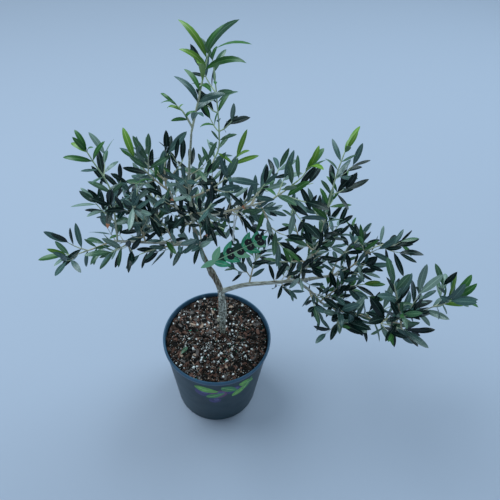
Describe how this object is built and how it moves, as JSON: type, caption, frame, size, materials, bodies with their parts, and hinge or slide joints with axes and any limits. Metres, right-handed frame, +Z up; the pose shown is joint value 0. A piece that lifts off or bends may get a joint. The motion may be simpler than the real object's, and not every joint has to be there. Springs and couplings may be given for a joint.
{
  "type": "potted olive tree",
  "caption": "Young olive tree with a forked leaning trunk and open leafy crown, standing in a round dark nursery pot of potting mix, with a hang tag on a loop of string.",
  "frame": {"origin": "middle of the pot's flat underside, on the surface it stands on", "axes": "+Z up, +X towards the long right bough, -Y towards the side that the picture shows"},
  "size_m": [0.7827, 0.2861, 0.8496],
  "materials": {
    "pot": "dark blue-grey moulded plastic, half gloss",
    "soil": "damp bark and peat potting mix with white perlite",
    "bark": "grey-olive bark with pale specks",
    "young_bark": "pale tan to grey-green young bark",
    "foliage": "dark grey-green leathery leaves, half gloss above and paler below",
    "tag": "printed card, green with dark dots",
    "string": "white cotton string"
  },
  "bodies": {
    "root": {"pot": "pot", "soil": "soil", "trunk": "bark", "left_bough": "young_bark", "upper_left_bough": "young_bark", "upper_right_bough": "young_bark", "right_bough": "young_bark", "right_back_bough": "young_bark", "right_middle_bough": "young_bark", "right_low_bough": "young_bark", "tag": "tag", "tag_loop": "string", "top": "foliage", "back_top": "foliage", "centre_up": "foliage", "centre_front_up": "foliage", "centre_middle": "foliage", "upper_left": "foliage", "left_up": "foliage", "left_far": "foliage", "left_middle": "foliage", "left_inner": "foliage", "left_low": "foliage", "left_front": "foliage", "left_back": "foliage", "centre_front": "foliage", "centre_back": "foliage", "upper_right": "foliage", "right_hanging": "foliage", "upper_right_back": "foliage", "right_inner": "foliage", "right_centre": "foliage", "right_spur": "foliage", "back_right": "foliage", "back_right_inner": "foliage", "back_right_low": "foliage", "middle_right": "foliage", "middle_right_back": "foliage", "low_right": "foliage", "low_right_inner": "foliage", "low_right_front": "foliage", "right_front": "foliage"}
  },
  "joints": []
}
